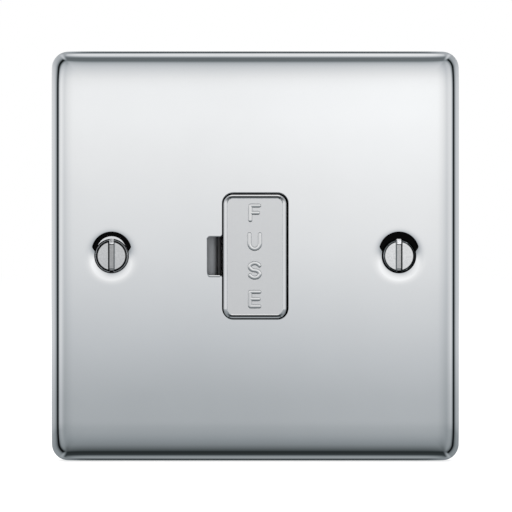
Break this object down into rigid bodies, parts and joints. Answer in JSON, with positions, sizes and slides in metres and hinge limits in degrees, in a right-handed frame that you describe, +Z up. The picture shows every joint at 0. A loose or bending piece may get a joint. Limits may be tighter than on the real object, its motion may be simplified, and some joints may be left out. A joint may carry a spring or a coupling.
{
  "type": "fused spur unit",
  "caption": "Square polished wall plate with a hinged fuse carrier, slotted fixing screws in drawn wells and a rear housing with screw terminals.",
  "frame": {"origin": "midway between the two fixing screws, on the wall plane at the back of the plate's rim", "axes": "+X to the right seen from the front, +Y into the wall, +Z up; the front of the plate faces -Y"},
  "size_m": [0.086, 0.0276, 0.0864],
  "materials": {
    "chrome_plate": "polished chrome on pressed steel",
    "chrome_screws": "chrome plated, turned face",
    "carrier_chrome": "chrome plated moulding, slightly satin",
    "frame_plastic": "dark grey moulding",
    "housing_plastic": "white moulding",
    "terminal_brass": "machined",
    "strip_brass": "stamped",
    "zinc_steel": "zinc plated",
    "zinc_screws": "zinc plated",
    "fuse_ceramic": "glazed",
    "fuse_nickel": "nickel plated"
  },
  "bodies": {
    "unit": {"front_plate": "chrome_plate", "plate_bosses": "zinc_steel", "fixing_screws": "chrome_screws", "carrier_frame": "frame_plastic", "terminal_housing": "housing_plastic", "terminal_line_in": "terminal_brass", "terminal_line_out": "terminal_brass", "terminal_earth_upper": "terminal_brass", "terminal_earth_lower": "terminal_brass", "terminal_neutral_in": "terminal_brass", "terminal_neutral_out": "terminal_brass", "terminal_screws": "zinc_screws", "line_in_contact": "strip_brass", "line_out_contact": "strip_brass", "neutral_link": "strip_brass", "earth_strap": "strip_brass", "housing_screws": "zinc_screws"},
    "carrier": {"fuse_carrier": "carrier_chrome", "fuse_barrel": "fuse_ceramic", "fuse_cap_upper": "fuse_nickel", "fuse_cap_lower": "fuse_nickel"}
  },
  "joints": [
    {"name": "carrier_hinge", "type": "hinge", "parent": "unit", "child": "carrier", "pos_m": [0.0028, -0.004, 0], "axis": [0, 0, 1], "range_deg": [0, 85]}
  ]
}
